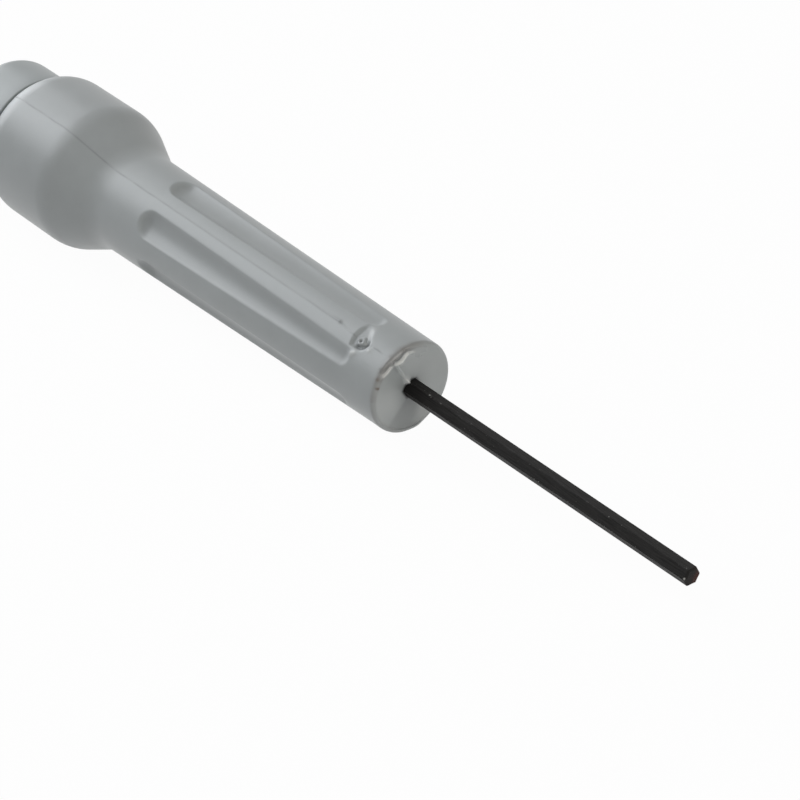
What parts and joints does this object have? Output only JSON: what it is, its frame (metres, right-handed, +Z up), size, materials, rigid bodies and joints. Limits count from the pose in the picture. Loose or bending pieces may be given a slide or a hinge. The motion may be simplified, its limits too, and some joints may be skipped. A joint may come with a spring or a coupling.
{
  "type": "precision screwdriver",
  "caption": "Slim hex driver: fluted grey plastic handle that flares into a bulb, fixed black hex blade, free-turning end cap.",
  "frame": {"origin": "centre of the blade's flat tip face, on the tool's axis", "axes": "+X along the tool's axis, out of the blade's tip; +Z up with the tool lying on its side, square to one of the blade's six flats"},
  "size_m": [0.1252, 0.0186, 0.0186],
  "materials": {
    "black_oxide_steel": "black oxide, fine lengthwise drawing lines, a little bare metal on the corners",
    "grip_plastic": "satin grey moulding",
    "cap_plastic": "satin grey moulding",
    "disc_plastic": "fine matt grain",
    "bright_steel": "turned",
    "bush_brass": "turned",
    "nylon": "natural"
  },
  "bodies": {
    "handle": {"hex_blade": "black_oxide_steel", "handle_grip": "grip_plastic", "pivot_pin": "bright_steel", "thrust_washer": "nylon", "head_washer": "bright_steel"},
    "cap": {"swivel_cap": "cap_plastic", "cap_bush": "bush_brass", "finger_disc": "disc_plastic"}
  },
  "joints": [
    {"name": "cap_spin", "type": "hinge", "parent": "handle", "child": "cap", "pos_m": [-0.1173, 0, 0], "axis": [1, 0, 0], "continuous": true}
  ]
}
